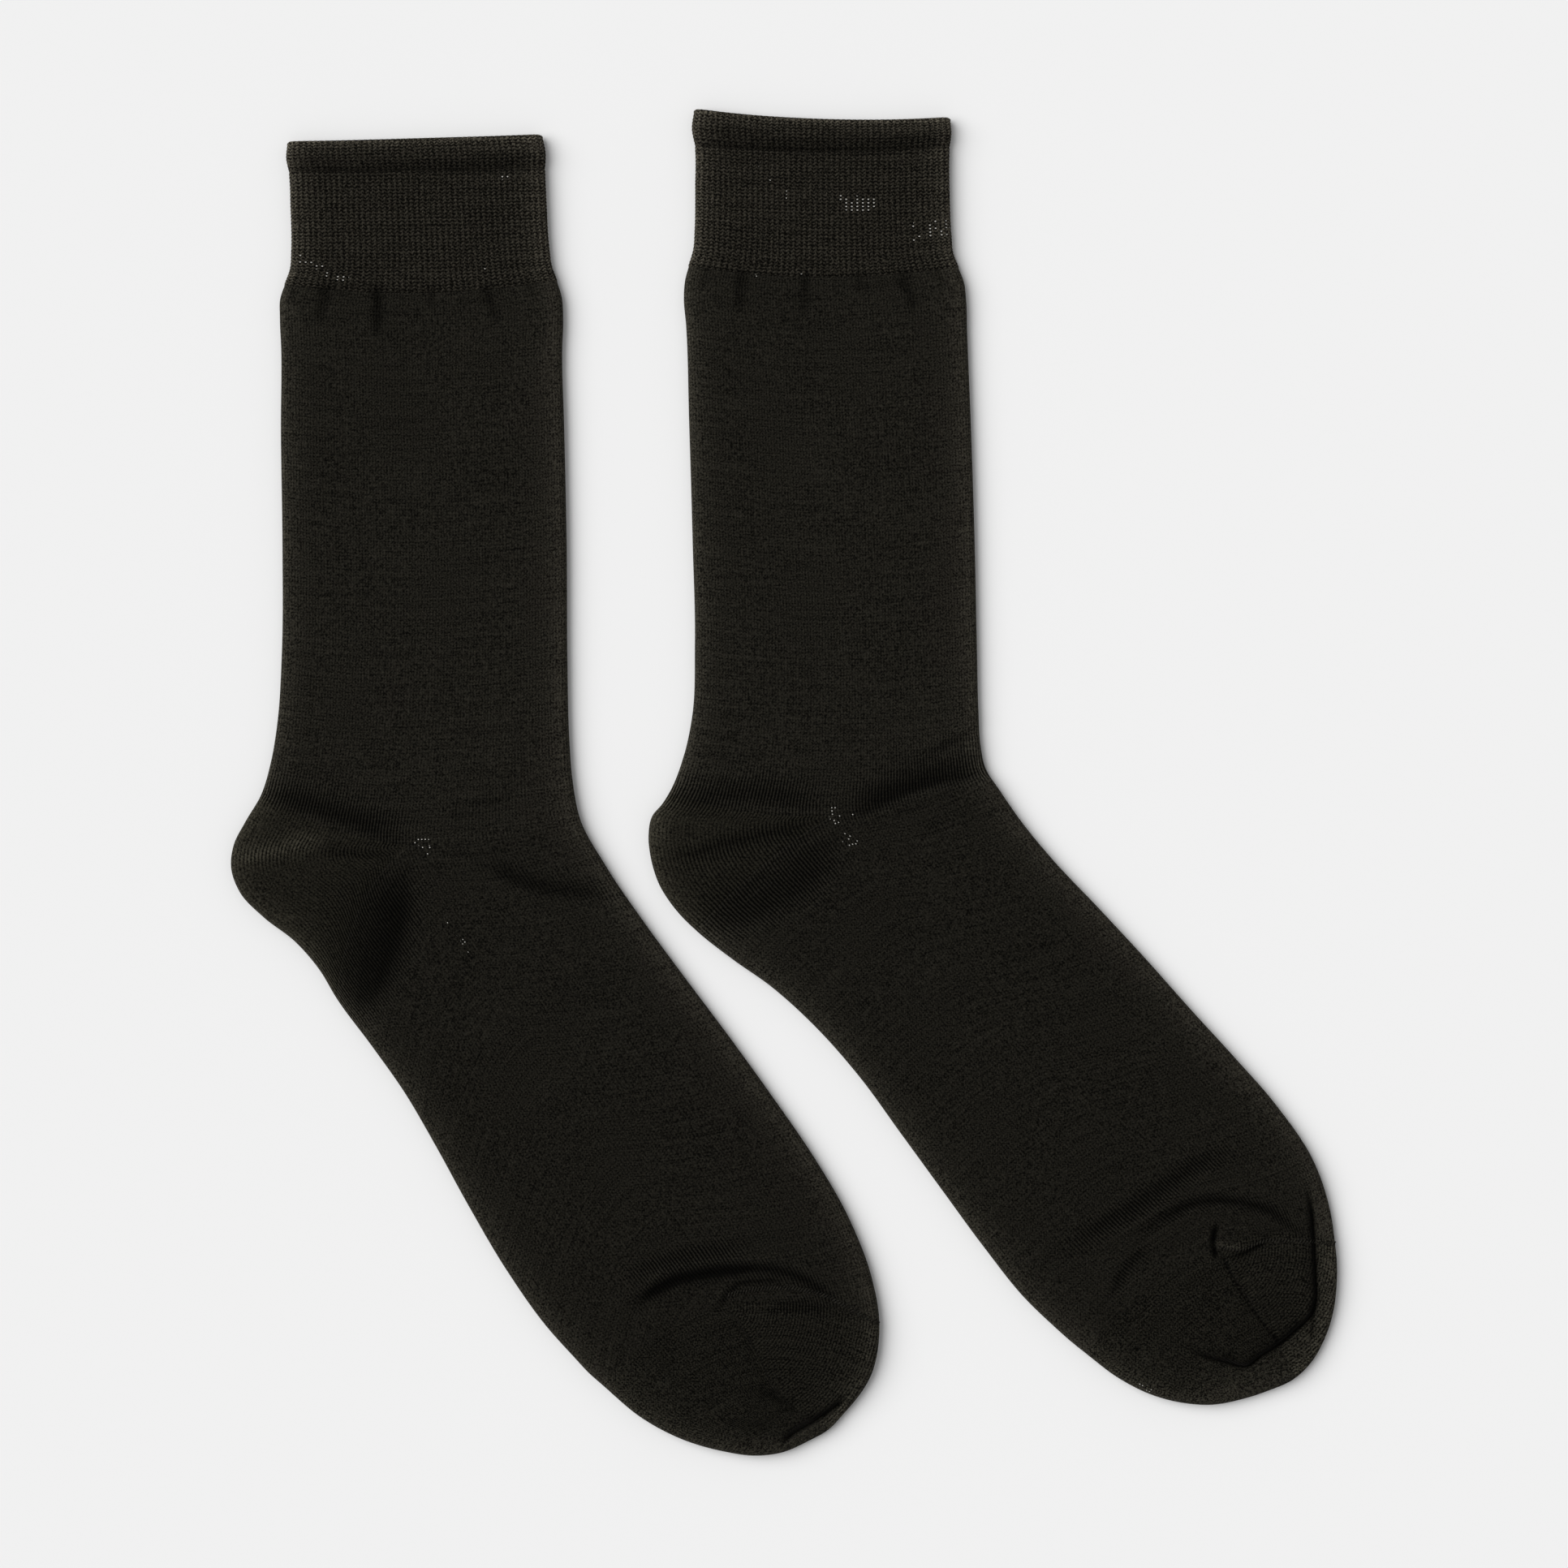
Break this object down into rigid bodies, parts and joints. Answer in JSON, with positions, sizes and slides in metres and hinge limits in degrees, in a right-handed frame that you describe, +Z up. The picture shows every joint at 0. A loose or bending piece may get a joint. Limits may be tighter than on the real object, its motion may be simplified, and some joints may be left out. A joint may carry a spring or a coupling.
{
  "type": "pair of socks",
  "caption": "Pair of plain fine-knit dress socks laid flat side by side, with turned welts, rib cuffs, heel pockets and linked toes.",
  "frame": {"origin": "on the surface that the pair lies on, under the centre of the pair's box", "axes": "+Y from the toes towards the cuffs, +Z up from the surface, +X to the right seen from above"},
  "size_m": [0.341, 0.4142, 0.0055],
  "materials": {
    "rib_knit": "1x1 rib in near-black combed cotton with elastic, matt, soft sheen at the folds",
    "plain_knit": "fine plain knit in near-black combed cotton, matt",
    "heel_and_toe_knit": "fine plain knit plated with polyamide, near-black, wales showing as fine stripes"
  },
  "bodies": {
    "root": {"left_welt": "rib_knit", "left_cuff": "rib_knit", "left_leg": "plain_knit", "left_heel": "heel_and_toe_knit", "left_foot": "plain_knit", "left_toe": "heel_and_toe_knit", "right_welt": "rib_knit", "right_cuff": "rib_knit", "right_leg": "plain_knit", "right_heel": "heel_and_toe_knit", "right_foot": "plain_knit", "right_toe": "heel_and_toe_knit"}
  },
  "joints": []
}
